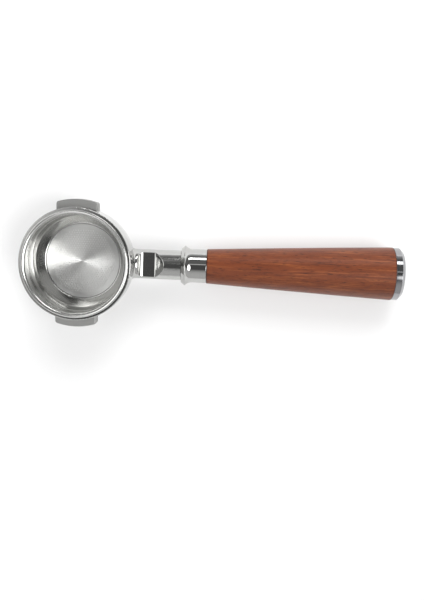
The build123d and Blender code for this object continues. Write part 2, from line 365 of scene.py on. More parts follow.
def add_node(tree: NodeTree, kind: str, inputs: dict | None = None,
             stops: list[tuple[float, Colour]] | None = None, **settings: object) -> Node:
    """Adds a node to a tree, with its settings, its values and its links.

    Args:
        tree: the material's or world's node tree.
        kind: Blender's name for the node's type, without "ShaderNode".
        inputs: for each input, by name or number, a value, an output, or a node whose first live output
            is taken.
        stops: places and colours, for a colour ramp.
        settings: the node's own properties.

    Returns:
        The new node.
    """
    node = tree.nodes.new("ShaderNode" + kind)
    for name, value in settings.items():
        setattr(node, name, value)
    for key, value in (inputs or {}).items():
        if isinstance(value, Node):
            value = next(output for output in value.outputs if output.enabled)
        if isinstance(value, NodeSocket):
            tree.links.new(value, node.inputs[key])
        else:
            node.inputs[key].default_value = value
    if stops:
        elements = node.color_ramp.elements
        while len(elements) < len(stops):
            elements.new(0.5)
        for element, (place, colour) in zip(elements, stops):
            element.position = place
            element.color = colour
    return node


def blank_material(name: str) -> tuple[Material, NodeTree, NodeSocket]:
    """Makes a material with nothing in its tree but Object coordinates.

    Args:
        name: the finish's name.

    Returns:
        The material, its tree and the coordinates.
    """
    made = bpy.data.materials.new(name)
    made.use_nodes = True
    tree = made.node_tree
    tree.nodes.clear()
    return made, tree, add_node(tree, "TexCoord").outputs["Object"]


def reach_from_axis(tree: NodeTree, parts: NodeOutputs) -> Node:
    """The distance from the ring's axis, as the length of (x, y).

    Args:
        tree: the material's nodes.
        parts: the separated Object coordinates.

    Returns:
        The distance, in metres.
    """
    flat = add_node(tree, "CombineXYZ", {"X": parts["X"], "Y": parts["Y"]})
    return add_node(tree, "VectorMath", {0: flat}, operation="LENGTH")


class Lay(Enum):
    """Which way the marks of a steel finish run."""

    ROUND_RING = "circles about the ring's axis"
    ROUND_HANDLE = "circles about the handle's axis"
    CAST = "soft unevenness, as on a ground and buffed casting"


@dataclass(frozen=True)
class HandleAxis:
    """The handle's line: where it crosses the ring's axis, and how it slopes."""

    depth: float = 20.7
    slope_degrees: float = 2.1

    @property
    def placement(self) -> Placement:
        """Where the handle's turned pieces stand."""
        return Placement((0.0, 0.0, -self.depth), 90 + self.slope_degrees)

    def mapping(self, tree: NodeTree, place: NodeSocket,
                scale: tuple[float, float, float]) -> Node:
        """Object coordinates turned so that X runs along the handle, in millimetres times a scale.

        Args:
            tree: the material's nodes.
            place: Object coordinates.
            scale: what each way's millimetres are multiplied by.

        Returns:
            The turned coordinates.
        """
        moved = add_node(tree, "Mapping", {"Vector": place, "Location": (0.0, 0.0, self.depth * MM)})
        return add_node(tree, "Mapping", {
            "Vector": moved, "Rotation": (0.0, -math.radians(self.slope_degrees), 0.0),
            "Scale": tuple(s / MM for s in scale),
        })


@dataclass(frozen=True)
class SteelFinish:
    """Stainless steel with one surface treatment.

    Its edges and flats come from the mesh. The marks change the roughness and lean the surface a
    little, which is what tells a turned face from a buffed one.
    """

    name: str
    colour: str
    roughness: float
    lay: Lay
    mark_width: float
    mark_depth: float
    roughness_spread: float = 0.05
    anisotropy: float = 0.0
    smudge: float = 0.05
    mark_stretch: float = 50.0
    smudges_per_metre: float = 60.0
    raw_beyond: float = 0.0
    raw_edge: float = 0.2
    raw_roughness: float = 0.55
    raw_tint: float = 0.7

    def marks(self, tree: NodeTree, place: NodeSocket) -> Node:
        """A noise whose cells are as wide as the marks and run the way of the lay.

        Args:
            tree: the material's nodes.
            place: Object coordinates.

        Returns:
            The noise.
        """
        per_mm = 1 / self.mark_width
        if self.lay is Lay.ROUND_HANDLE:
            round_axis = per_mm / self.mark_stretch
            vector = HandleAxis().mapping(tree, place, (per_mm, round_axis, round_axis))
        else:
            if self.lay is Lay.ROUND_RING:
                parts = add_node(tree, "SeparateXYZ", {0: place}).outputs
                place = add_node(tree, "CombineXYZ", {"X": reach_from_axis(tree, parts), "Y": parts["Z"]})
            vector = add_node(tree, "VectorMath", {0: place, "Scale": per_mm / MM}, operation="SCALE")
        return add_node(tree, "TexNoise", {"Vector": vector, "Scale": 1.0, "Detail": 3.0, "Roughness": 0.6})

    def raw_share(self, tree: NodeTree, place: NodeSocket) -> Node:
        """Leaves the metal unpolished beyond a distance from the ring's axis, off the arm: on the lugs.

        Args:
            tree: the material's nodes.
            place: Object coordinates.

        Returns:
            Nought where the metal is polished and one where it is raw.
        """
        parts = add_node(tree, "SeparateXYZ", {0: place}).outputs
        outside = add_node(tree, "MapRange", {
            "Value": reach_from_axis(tree, parts), "From Min": self.raw_beyond * MM,
            "From Max": (self.raw_beyond + self.raw_edge) * MM})
        aside = add_node(tree, "Math", {0: parts["Y"]}, operation="ABSOLUTE")
        off_arm = add_node(tree, "Math", {0: aside, 1: self.raw_beyond / 2 * MM}, operation="GREATER_THAN")
        return add_node(tree, "Math", {0: outside, 1: off_arm}, operation="MULTIPLY")

    def material(self) -> Material:
        """Builds the material: marks, slow smudges in the gloss, and a faint lean of the surface.

        Returns:
            The material.
        """
        made, tree, place = blank_material(self.name)
        marks = self.marks(tree, place)
        slow = add_node(tree, "TexNoise", {
            "Vector": place, "Scale": self.smudges_per_metre, "Detail": 4.0, "Roughness": 0.55})
        fine = add_node(tree, "MapRange", {
            "Value": marks, "From Min": 0.3, "From Max": 0.7,
            "To Min": self.roughness - self.roughness_spread,
            "To Max": self.roughness + self.roughness_spread,
        })
        gloss = add_node(tree, "Math", {
            0: add_node(tree, "Math", {0: slow, 1: 0.5}, operation="SUBTRACT"), 1: self.smudge, 2: fine,
        }, operation="MULTIPLY_ADD")
        tint = add_node(tree, "MapRange", {
            "Value": marks, "From Min": 0.25, "From Max": 0.75, "To Min": 0.93, "To Max": 1.04})
        if self.raw_beyond:
            raw = self.raw_share(tree, place)
            gloss, tint = (
                add_node(tree, "Mix", {"Factor": raw, "A": polished, "B": unpolished})
                for polished, unpolished in ((gloss, self.raw_roughness), (tint, self.raw_tint)))
        inputs = {
            "Base Color": add_node(tree, "VectorMath", {
                0: linear(self.colour)[:3], "Scale": tint}, operation="SCALE"),
            "Metallic": 1.0, "Roughness": gloss,
            "Normal": add_node(tree, "Bump", {
                "Height": marks, "Strength": 1.0, "Distance": self.mark_depth * MM}),
        }
        if self.anisotropy:
            inputs |= {
                "Anisotropic": self.anisotropy, "Anisotropic Rotation": 0.25,
                "Tangent": add_node(tree, "Tangent", direction_type="RADIAL", axis="Z")}
        shader = add_node(tree, "BsdfPrincipled", inputs)
        add_node(tree, "OutputMaterial", {"Surface": shader})
        return made


@dataclass(frozen=True)
class Rosewood:
    """Oiled rosewood, turned and rubbed to a satin: straight brown-red grain with dark streaks and pores.

    A stretch is how many times longer a streak, fibre or pore is than it is wide.
    """

    # Real rosewood has fibres and pores of 0.1 to 0.2 mm. They are drawn at 0.4 mm, as coarse as they need
    # to be to show. The oil gives a low sheen that follows the light, with the grain seen through it.
    name: str = "oiled_rosewood"
    light: str = "864823"
    middle: str = "6C3316"
    dark: str = "421A0A"
    pore: str = "260E05"
    streak_width: float = 1.0
    fibre_width: float = 0.4
    streak_stretch: float = 25.0
    fibre_stretch: float = 20.0
    pore_stretch: float = 10.0
    pore_depth: float = 0.02
    # The colour darkens over the last 0.9 mm at each end of the grip, to 0.35 of itself at 0.1 mm from the
    # end.
    end_dark_width: float = 0.9
    end_darkness: float = 0.35
    roughness: float = 0.42
    front: float = 77.0
    back: float = 190.4

    def material(self) -> Material:
        """Builds the material from growth bands, fibres and pores, each a noise drawn out along the grip.

        Returns:
            The material.
        """
        axis = HandleAxis()
        made, tree, place = blank_material(self.name)
        per_streak, per_fibre = 1 / self.streak_width, 1 / self.fibre_width
        bands = add_node(tree, "TexNoise", {
            "Vector": axis.mapping(
                tree, place, (per_streak / self.streak_stretch, per_streak, per_streak * 0.8)),
            "Scale": 1.0, "Detail": 3.0, "Roughness": 0.5, "Distortion": 0.35,
        })
        fibres = add_node(tree, "TexNoise", {
            "Vector": axis.mapping(tree, place, (per_fibre / self.fibre_stretch, per_fibre, per_fibre)),
            "Scale": 1.0, "Detail": 4.0, "Roughness": 0.65,
        })
        pores = add_node(tree, "TexNoise", {
            "Vector": axis.mapping(tree, place, (per_fibre / self.pore_stretch, per_fibre, per_fibre)),
            "Scale": 1.0, "Detail": 1.0,
        })
        growth = add_node(tree, "Math", {0: fibres, 1: 0.45, 2: bands}, operation="MULTIPLY_ADD")
        colour = add_node(tree, "ValToRGB", {0: growth}, stops=[
            (0.48, linear(self.dark)), (0.64, linear(self.middle)), (0.76, linear(self.middle)),
            (0.9, linear(self.light)),
        ])
        open_pore = add_node(tree, "MapRange", {
            "Value": pores, "From Min": 0.58, "From Max": 0.68, "To Min": 0.0, "To Max": 0.7})
        pored = add_node(tree, "Mix", {
            "Factor": open_pore, "A": colour, "B": linear(self.pore)}, data_type="RGBA")
        along = add_node(tree, "SeparateXYZ", {0: axis.mapping(tree, place, (1, 1, 1))})
        middle, half = (self.front + self.back) / 2, (self.back - self.front) / 2
        from_middle = add_node(tree, "Math", {
            0: add_node(tree, "Math", {0: along, 1: middle}, operation="SUBTRACT")}, operation="ABSOLUTE")
        # Darker towards both ends of the grip, where it meets the ferrule and the cap.
        end_darkened = add_node(tree, "MapRange", {
            "Value": from_middle, "From Min": half - self.end_dark_width, "From Max": half - 0.1,
            "To Min": 1.0, "To Max": self.end_darkness,
        })
        shaded = add_node(tree, "VectorMath", {0: pored, "Scale": end_darkened}, operation="SCALE")
        depth = add_node(tree, "Math", {0: open_pore, 1: -1.5, 2: fibres}, operation="MULTIPLY_ADD")
        lean = add_node(tree, "Bump", {"Height": depth, "Strength": 1.0, "Distance": self.pore_depth * MM})
        gloss = add_node(tree, "MapRange", {
            "Value": fibres, "From Min": 0.3, "From Max": 0.7,
            "To Min": self.roughness + 0.07, "To Max": self.roughness - 0.05})
        shader = add_node(tree, "BsdfPrincipled", {
            "Base Color": shaded, "Roughness": gloss, "Normal": lean, "IOR": 1.5,
            "Specular IOR Level": 0.4, "Coat Weight": 0.05, "Coat Roughness": 0.36,
        })
        add_node(tree, "OutputMaterial", {"Surface": shader})
        return made


@dataclass(frozen=True)
class MouldedRubber:
    """Black moulded nitrile rubber: matt, with a fine bloom."""

    # Rubber soaks up light, so the eye sees only a soft grey haze on it.
    name: str = "moulded_rubber"
    colour: str = "1B1B1C"
    grain: float = 0.3

    def material(self) -> Material:
        """Builds the material: near-black, with a fine uneven bloom in colour and gloss.

        Returns:
            The material.
        """
        made, tree, place = blank_material(self.name)
        bloom = add_node(tree, "TexNoise", {"Vector": place, "Scale": 1 / (self.grain * MM), "Detail": 3.0})
        base = linear(self.colour)
        colour = add_node(tree, "ValToRGB", {0: bloom}, stops=[
            (0.3, base), (0.8, (base[0] * 2, base[1] * 2, base[2] * 2, 1.0))])
        lean = add_node(tree, "Bump", {"Height": bloom, "Distance": 0.01 * MM})
        shader = add_node(tree, "BsdfPrincipled", {
            "Base Color": colour, "Roughness": 0.72, "Normal": lean})
        add_node(tree, "OutputMaterial", {"Surface": shader})
        return made


# Pieces


def settle(piece: Object, body: str, node: str) -> None:
    """Puts a finished piece on its body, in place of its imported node, and reports it.

    Args:
        piece: the new object.
        body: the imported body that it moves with.
        node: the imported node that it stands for.
    """
    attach(piece, body)
    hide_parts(node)
    LOG.info("%s: %d faces on %s", piece.name, len(piece.data.polygons), body)


def dress(node: str, finish: Material) -> None:
    """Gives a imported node's own shape its finish.

    Args:
        node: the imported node's name.
        finish: its material.
    """
    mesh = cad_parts[node].data
    for index in range(len(mesh.materials)):
        mesh.materials[index] = finish
    LOG.info("%s: packed shape, finish %s", node, finish.name)


@dataclass
class LockingRing:
    """The casting: ring, lugs and arm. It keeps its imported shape."""

    # Stainless steel, cast, ground and buffed: soft, slightly uneven reflections. The lugs are left raw, so
    # they look matt and grey beside the ring.
    cast: SteelFinish = SteelFinish(
        "buffed_casting", "BCBCBA", 0.11, Lay.CAST, 0.8, 0.0002, 0.03, raw_beyond=33.6)

    def build(self) -> None:
        """Dresses the casting."""
        dress("portafilter_body", self.cast.material())


class BasketFinish(IntEnum):
    """The basket's finishes, by their place in its list of materials."""

    WALL = 0
    FLOOR = 1
    LIP = 2


@dataclass
class FilterBasket:
    """The pressed basket with its perforated floor, and the wire spring that holds it."""

    bore_radius: float = 29.25
    sheet: float = 0.8
    lip_radius: float = 31.9
    lip_height: float = 1.3
    lip_inner_bend: float = 2.0
    lip_outer_round: float = 0.65
    lip_under_bend: float = 0.95
    lip_under_edge: float = 0.08
    lip_bend_share: float = 0.98
    bead_depth: float = 10.0
    bead_width: float = 3.0
    bead_bulge: float = 0.5
    bead_foot_bend: float = 1.2
    bead_crown_bend: float = 1.6
    wall_taper: float = 0.75
    wall_depth: float = 18.3
    floor_depth: float = 24.0
    floor_radius: float = 23.7
    shoulder_bend: float = 2.5
    floor_bend: float = 0.8
    hole_radius: float = 0.3
    hole_pitch: float = 1.55
    hole_sides: int = 12
    perforated_radius: float = 20.4
    sides: int = 192
    # Pressed and spun stainless steel. Real spinning and turning marks are 0.05 to 0.2 mm apart. They are
    # drawn wider, so that they show.
    # The wall's marks break its reflections into bands that go round the basket.
    wall_finish: SteelFinish = SteelFinish(
        "spun_wall", "C6C6C4", 0.1, Lay.ROUND_RING, 1.2, 0.01, 0.03, 0.25)
    # The rolled lip is a rougher satin than the wall, and its steel is drawn lighter, a painted highlight
    # that gives it a soft light edge from every side.
    lip_highlight_finish: SteelFinish = SteelFinish("satin_lip_painted_highlight", "D4D4D2", 0.2, Lay.ROUND_RING, 0.8, 0.0001, 0.03)
    # The floor is turned, so its highlight spreads across the marks into two wedges that meet at the middle.
    # Its steel is drawn much lighter than the wall's, painted light that brightens the floor at the bottom of
    # the basket.
    floor_lightened_finish: SteelFinish = SteelFinish(
        "turned_floor_painted_light", "E8E8E6", 0.42, Lay.ROUND_RING, 0.9, 0.012, 0.1, 0.92)
    # Drawn spring wire: a duller grey than the sheet.
    wire_finish: SteelFinish = SteelFinish("drawn_wire", "B4B4B2", 0.25, Lay.CAST, 0.3, 0.001, 0.05)

    @property
    def border_radius(self) -> float:
        """Where the floor's holes end and its plain edge begins."""
        return self.perforated_radius + self.hole_radius

    @property
    def margin_radius(self) -> float:
        """Where the floor's flat edge turns up into the wall."""
        return self.floor_radius - self.floor_bend

    def moved_corner(self, before: tuple[float, float], corner: tuple[float, float],
                     after: tuple[float, float]) -> tuple[float, float]:
        """Where a corner of the inside goes when the sheet's thickness is added to its right.

        The corner moves along the sum of the two sides' normals, by thickness / (1 + their product).

        Args:
            before: the corner before, as radius and height.
            corner: the corner to move.
            after: the corner after.

        Returns:
            Radius and height of the outer corner.
        """
        sides = np.array([np.subtract(corner, before), np.subtract(after, corner)], dtype=float)
        sides /= np.linalg.norm(sides, axis=1)[:, None]
        normals = np.column_stack([sides[:, 1], -sides[:, 0]])
        place = np.array(corner) + normals.sum(axis=0) * self.sheet / (1 + normals[0] @ normals[1])
        return float(place[0]), float(place[1])

    def wall(self) -> list[Patch]:
        """The pressed wall with its lip and bead, from the disc's underside out, up, over and back in.

        The lip's bends are a touch under their full radius, so a short straight stretch joins the runs.

        Returns:
            Patches for the outside, the lip and the inside.
        """
        foot_bend, crown_bend = self.bead_foot_bend, self.bead_crown_bend
        lip_top = (self.bore_radius, self.lip_height - self.lip_inner_bend)
        wall_radius = self.bore_radius + self.sheet
        bead_top = -self.bead_depth + self.bead_width / 2
        bead_bottom = -self.bead_depth - self.bead_width / 2
        foot = (self.bore_radius - self.wall_taper, -self.wall_depth)
        corner = (self.floor_radius, -self.floor_depth)
        outer_corner = self.moved_corner((0, -self.floor_depth), corner, foot)
        outer_foot = self.moved_corner(corner, foot, (self.bore_radius, bead_bottom))
        bulge = self.bead_bulge
        under = [
            Corner(self.margin_radius, -self.floor_depth - self.sheet),
            Corner(*outer_corner, self.floor_bend + self.sheet),
            Corner(*outer_foot, self.shoulder_bend + self.sheet),
            Corner(wall_radius, bead_bottom, foot_bend),
            Corner(wall_radius + bulge, -self.bead_depth, crown_bend),
            Corner(wall_radius, bead_top, foot_bend),
            Corner(wall_radius, -self.lip_under_bend),
        ]
        lip = [
            Corner(wall_radius, -self.lip_under_bend),
            Corner(wall_radius, 0, self.lip_under_bend * self.lip_bend_share),
            Corner(self.lip_radius, 0, self.lip_under_edge),
            Corner(self.lip_radius, self.lip_height, self.lip_outer_round),
            Corner(self.bore_radius, self.lip_height, self.lip_inner_bend * self.lip_bend_share),
            Corner(*lip_top),
        ]
        inside = [
            Corner(*lip_top),
            Corner(self.bore_radius, bead_top, crown_bend),
            Corner(self.bore_radius + bulge, -self.bead_depth, foot_bend),
            Corner(self.bore_radius, bead_bottom, crown_bend),
            Corner(*foot, self.shoulder_bend),
            Corner(self.floor_radius, -self.floor_depth, self.floor_bend),
            Corner(self.margin_radius, -self.floor_depth),
        ]
        return [turned_patch(Outline(run, closed=False, longest=1.0), self.sides, finish)
                for run, finish in ((under, BasketFinish.WALL), (lip, BasketFinish.LIP),
                                    (inside, BasketFinish.WALL))]

    def margin(self) -> list[Patch]:
        """The turned edge of the floor, above and below, out from the holes.

        Returns:
            Patches for the top and the underside.
        """
        under = -self.floor_depth - self.sheet
        runs = (
            [Corner(self.margin_radius, -self.floor_depth), Corner(self.border_radius, -self.floor_depth)],
            [Corner(self.border_radius, under), Corner(self.margin_radius, under)],
        )
        return [turned_patch(Outline(run, closed=False, longest=1.0), self.sides, BasketFinish.FLOOR)
                for run in runs]

    def hole_centres(self) -> Array:
        """A staggered grid inside the perforated circle.

        Rows are the pitch times half the root of three apart, and every other one moves half a pitch.

        Returns:
            (x, y) rows.
        """
        row_pitch = self.hole_pitch * math.sqrt(3) / 2
        row_count = int(self.perforated_radius / row_pitch)
        column_count = int(self.perforated_radius / self.hole_pitch) + 1
        rows = np.arange(-row_count, row_count + 1)
        columns = np.arange(-column_count, column_count + 1)
        x = (columns[None, :] + (rows[:, None] % 2) / 2) * self.hole_pitch
        y = np.broadcast_to(rows[:, None] * row_pitch, x.shape)
        centres = np.column_stack([x.ravel(), y.ravel()])
        return centres[np.hypot(*centres.T) <= self.perforated_radius - self.hole_radius]

    def disc(self) -> list[Patch]:
        """The perforated middle of the floor: two flat faces, cut into triangles round the holes, and
        the holes' walls.

        Returns:
            Patches for the top, the underside and the walls.
        """
        border = self.border_radius * unit_circle(self.sides)
        centres = self.hole_centres()
        spoke = unit_circle(self.hole_sides)
        holes = centres[:, None, :] + self.hole_radius * spoke
        points = np.concatenate([border, holes.reshape(-1, 2)])
        loops = [np.arange(self.sides)]
        loops += list(self.sides + np.arange(holes.shape[0] * self.hole_sides).reshape(holes.shape[:2]))
        edges = np.concatenate([np.column_stack([loop, np.roll(loop, -1)]) for loop in loops])
        result = delaunay_2d_cdt([Vector(p) for p in points], edges.tolist(), [], 0, 1e-7)
        source = np.array([first[0] for first in result[3]])
        faces = source[np.array(result[2])]
        owner = (faces - self.sides) // self.hole_sides
        faces = faces[(faces.min(axis=1) < self.sides) | (owner.min(axis=1) != owner.max(axis=1))]
        first, second = (points[faces[:, k]] - points[faces[:, 0]] for k in (1, 2))
        turned = first[:, 0] * second[:, 1] - first[:, 1] * second[:, 0] < 0
        faces[turned] = faces[turned][:, ::-1]
        top = np.column_stack([points, np.full(len(points), -self.floor_depth)])
        both = np.concatenate([top, top - np.array([0, 0, self.sheet])])
        patches = []
        for shift, way in ((0, 1), (len(points), -1)):
            some = faces[:, ::way] + shift
            normals = np.broadcast_to(np.array([0.0, 0.0, way]), (*some.shape, 3))
            patches.append(Patch(
                both, some, normals, self.flat_uv(both[some]), BasketFinish.FLOOR, smooth=False))
        here = edges[self.sides:]
        walls = np.column_stack([here, here[:, ::-1] + len(points)])
        inward = np.concatenate([np.zeros((self.sides, 2)), np.tile(-spoke, (len(centres), 1))])
        inward = np.column_stack([inward, np.zeros(len(inward))])
        normals = np.concatenate([inward, inward])[walls]
        patches.append(Patch(both, walls, normals, self.flat_uv(both[walls]), BasketFinish.FLOOR))
        return patches

    def flat_uv(self, places: Array) -> Array:
        """A UV that looks straight down on the floor, with the border circle filling the square."""
        return places[..., :2] / (2 * self.border_radius) + 0.5

    def build(self) -> None:
        """Builds the basket and dresses the spring."""
        finishes = [finish.material() for finish in (self.wall_finish, self.floor_lightened_finish, self.lip_highlight_finish)]
        basket = write_mesh("pressed_basket", [*self.wall(), *self.margin(), *self.disc()], finishes)
        settle(basket, "basket", "filter_basket")
        dress("basket_spring", self.wire_finish.material())


@dataclass
class Handle:
    """Everything behind the arm: ferrule, grip, end cap and the threaded rod that draws them together."""

    axis: HandleAxis = HandleAxis()
    sides: int = 96
    ferrule_start: float = 61.6
    ferrule_length: float = 15.4
    ferrule_radius: float = 10.3
    flange_radius: float = 12.4
    flange_position: float = 2.2
    flange_round: float = 0.35
    front_cone_radius: float = 10.6
    flare_length: float = 4.3
    ferrule_bore: float = 5.2
    spigot_radius: float = 7.8
    spigot_length: float = 8.0
    seal_recess_radius: float = 8.1
    seal_thickness: float = 1.0
    edge_break: float = 0.3
    front_round: float = 0.1
    grip_length: float = 113.4
    grip_front_radius: float = 10.55
    grip_rear_radius: float = 16.2
    grip_belly: float = 0.2
    grip_bore: float = 5.3
    grip_edge_round: float = 0.5
    fit_gap: float = 0.1
    pocket_radius: float = 11.8
    pocket_depth: float = 22.5
    cap_radius: float = 16.0
    cap_band: float = 3.6
    cap_chamfer: float = 1.9
    cap_dome: float = 1.0
    cap_front_round: float = 0.12
    cap_band_round: float = 0.2
    cap_spigot_round: float = 0.4
    cap_spigot_length: float = 8.5
    cap_thread_depth: float = 7.0
    cap_thread_radius: float = 5.05
    groove_radius: float = 10.2
    groove_setback: tuple[float, float] = (3.65, 1.95)
    rod_start: float = 49.5
    rod_radius: float = 5.0
    thread_pitch: float = 1.5
    thread_depth: float = 0.9
    thread_flat: float = 0.1
    thread_steps: int = 8
    rod_sides: int = 24
    rod_chamfer: float = 1.0
    rod_end_gap: float = 0.5
    # Polished stainless steel: sharp light and dark bands run along it. Real polishing marks are under
    # 0.05 mm wide. They are drawn at 0.35 mm, very shallow.
    polish: SteelFinish = SteelFinish(
        "mirror_polish", "BEBEBC", 0.05, Lay.ROUND_HANDLE, 0.35, 0.0003, 0.02, 0.0, 0.03)
    # The cap is buffed rather than polished, so its bands are softer. Its steel is also drawn a darker grey
    # than the ferrule's, which is painted shade.
    cap_shaded_finish: SteelFinish = SteelFinish("buffed_cap_painted_shade", "A0A0A2", 0.09, Lay.ROUND_HANDLE, 0.35, 0.0003, 0.03)
    # Zinc-plated steel: a dull, slightly warm grey.
    plate: SteelFinish = SteelFinish("zinc_plate", "A9A79E", 0.34, Lay.CAST, 0.5, 0.001, 0.06)
    wood: Rosewood = Rosewood()
    rubber: MouldedRubber = MouldedRubber()

    @property
    def grip_start(self) -> float:
        """Where the wood begins along the handle."""
        return self.ferrule_start + self.ferrule_length

    @property
    def grip_end(self) -> float:
        """Where the wood ends along the handle."""
        return self.grip_start + self.grip_length

    def ferrule(self) -> Patch:
        """A seal recess, a cone out to the flange, a flare that runs into the barrel, and a spigot behind.

        The flare is the arc from the flange's edge that meets the barrel along its side: its radius R
        is (drop squared + length squared) / (2 drop), and the drop at a distance q before the barrel
        is R - root(R squared - q squared).

        Returns:
            The surface.
        """
        start, end = self.ferrule_start, self.grip_start
        crest = start + self.flange_position
        drop = self.flange_radius - self.ferrule_radius
        arc = (drop ** 2 + self.flare_length ** 2) / (2 * drop)
        back = self.flare_length * np.linspace(1, 0, 12)[1:]
        flare = self.ferrule_radius + arc - np.sqrt(arc ** 2 - back ** 2)
        return turned_patch(Outline([
            Corner(self.ferrule_bore, start + self.seal_thickness),
            Corner(self.seal_recess_radius, start + self.seal_thickness),
            Corner(self.seal_recess_radius, start),
            Corner(self.front_cone_radius, start, self.front_round),
            Corner(self.flange_radius, crest, self.flange_round),
            *[Corner(float(r), float(crest + self.flare_length - q)) for r, q in zip(flare, back)],
            Corner(self.ferrule_radius, end, self.edge_break),
            Corner(self.spigot_radius, end),
            Corner(self.spigot_radius, end + self.spigot_length, self.edge_break),
            Corner(self.ferrule_bore, end + self.spigot_length),
        ]), self.sides)

    def grip(self) -> Patch:
        """The turned wood: a slender barrel between two eased edges, bored and pocketed inside.

        Returns:
            The surface.
        """
        start, end = self.grip_start, self.grip_end
        front, rear = (self.grip_front_radius, start), (self.grip_rear_radius, end)
        counterbore = self.spigot_radius + self.fit_gap
        shoulder = start + self.spigot_length + self.fit_gap
        floor = end - self.pocket_depth
        return turned_patch(Outline([
            Corner(counterbore, start), Corner(*front, self.grip_edge_round),
            *bowed(front, rear, self.grip_belly, 24),
            Corner(*rear, self.grip_edge_round), Corner(self.pocket_radius, end, self.edge_break),
            Corner(self.pocket_radius, floor), Corner(self.grip_bore, floor),
            Corner(self.grip_bore, shoulder), Corner(counterbore, shoulder),
        ], longest=4.0), self.sides)

    def cap(self) -> Patch:
        """A band, a chamfer and a shallow dome, on a spigot with the O-ring's groove and a blind hole.

        The dome's height at a radius r is the dome's rise times (1 - (r / edge) squared).

        Returns:
            The surface.
        """
        end = self.grip_end
        edge = self.cap_radius - self.cap_chamfer
        back = end + self.cap_band + self.cap_chamfer
        spigot = self.pocket_radius - self.fit_gap
        foot = end - self.cap_spigot_length
        hole_floor = foot + self.cap_thread_depth
        radii = edge * np.linspace(1, 0, 13)[1:]
        groove_start, groove_end = (end - setback for setback in self.groove_setback)
        return turned_patch(Outline([
            Corner(0, hole_floor), Corner(self.cap_thread_radius, hole_floor),
            Corner(self.cap_thread_radius, foot, self.cap_spigot_round),
            Corner(spigot, foot, self.cap_spigot_round),
            Corner(spigot, groove_start), Corner(self.groove_radius, groove_start),
            Corner(self.groove_radius, groove_end), Corner(spigot, groove_end),
            Corner(spigot, end), Corner(self.cap_radius, end, self.cap_front_round),
            Corner(self.cap_radius, end + self.cap_band, self.cap_band_round),
            Corner(edge, back, self.edge_break),
            *[Corner(float(r), float(back + self.cap_dome * (1 - (r / edge) ** 2))) for r in radii],
        ], closed=False), self.sides)

    def rod(self) -> list[Patch]:
        """The threaded rod: radius r(a, s) is a triangle wave of s / pitch - a / full turn, cut off flat.

        The wave runs from the crest down by the thread's depth and back once each pitch, and near both
        ends it is capped by a 45 degree point.

        Returns:
            Patches for the thread and the two ends.
        """
        sides = self.rod_sides
        end = self.grip_end - self.cap_spigot_length + self.cap_thread_depth - self.rod_end_gap
        stations = np.append(np.arange(self.rod_start, end, self.thread_pitch / self.thread_steps), end)
        phase = (stations[None, :] / self.thread_pitch - (np.arange(sides) / sides)[:, None]) % 1
        wave = np.clip((np.abs(2 * phase - 1) - self.thread_flat) / (1 - 2 * self.thread_flat), 0, 1)
        point = np.minimum(stations - self.rod_start, end - stations) + self.rod_radius - self.rod_chamfer
        radius = np.minimum(self.rod_radius - self.thread_depth * wave, point[None, :])
        across, up = unit_circle(sides).T[..., None]
        places = np.stack(np.broadcast_arrays(radius * across, radius * up, stations), axis=-1)
        lead = np.gradient(radius, stations, axis=1)
        normal = np.stack(np.broadcast_arrays(across, up, -lead), axis=-1)
        normal /= np.linalg.norm(normal, axis=-1, keepdims=True)
        index = np.arange(radius.size).reshape(radius.shape)
        after = np.roll(index, -1, axis=0)
        faces = np.stack([index[:, :-1], after[:, :-1], after[:, 1:], index[:, 1:]], -1).reshape(-1, 4)
        points = places.reshape(-1, 3)
        patches = [Patch(points, faces, normal.reshape(-1, 3)[faces], np.zeros((*faces.shape, 2)))]
        around = np.arange(sides)
        fan = np.column_stack([around, np.roll(around, -1), np.full(sides, sides)])
        for ring, way, height in ((index[:, 0], -1, self.rod_start), (index[:, -1], 1, end)):
            facing = np.broadcast_to(np.array([0.0, 0.0, way]), (sides, 3, 3))
            rim = np.vstack([points[ring], [0, 0, height]])
            patches.append(Patch(rim, fan[:, ::way], facing, np.zeros((sides, 3, 2))))
        return patches

    def build(self) -> None:
        """Builds the turned pieces and dresses the small ones inside."""
        polish, cap, plate, wood, rubber = (finish.material() for finish in (
            self.polish, self.cap_shaded_finish, self.plate, self.wood, self.rubber))
        place = self.axis.placement
        made = (
            ("steel_ferrule", [self.ferrule()], polish, "ferrule", "polished_steel"),
            ("turned_grip", [self.grip()], wood, "wood_grip", "rosewood"),
            ("domed_cap", [self.cap()], cap, "end_cap", "polished_steel"),
            ("threaded_rod", self.rod(), plate, "handle_rod", "plated_steel"),
        )
        for name, patches, finish, node, slot in made:
            settle(write_mesh(name, patches, [finish], place), "portafilter", node)
        for node in ("clamp_washer", "lock_washer", "clamp_nut"):
            dress(node, plate)
        for node in ("ferrule_seal", "cap_o_ring"):
            dress(node, rubber)


# Studio


@dataclass(frozen=True)
class SoftBox:
    """A long rectangular light, aimed at the part's middle from an angle about the handle's line."""

    name: str
    toward_y_degrees: float
    start: float
    end: float
    width: float
    radiance: float
    distance: float = 0.9
    aim_depth: float = 0.02
    reflected: bool = True

    @property
    def power(self) -> float:
        """The watts that give the strip its radiance: pi times its area times that."""
        return math.pi * (self.end - self.start) * self.width * self.radiance


@dataclass(frozen=True)
class Window:
    """A round bright patch of the surround: its azimuth, its angle from overhead and its brightness."""

    azimuth_degrees: float
    from_overhead_degrees: float
    level: float
    reach_degrees: float = 21.0
    core_share: float = 0.6

    @property
    def direction(self) -> tuple[float, float, float]:
        """The unit vector to its middle."""
        turn, tip = math.radians(self.azimuth_degrees), math.radians(self.from_overhead_degrees)
        return (math.sin(tip) * math.cos(turn), math.sin(tip) * math.sin(turn), math.cos(tip))


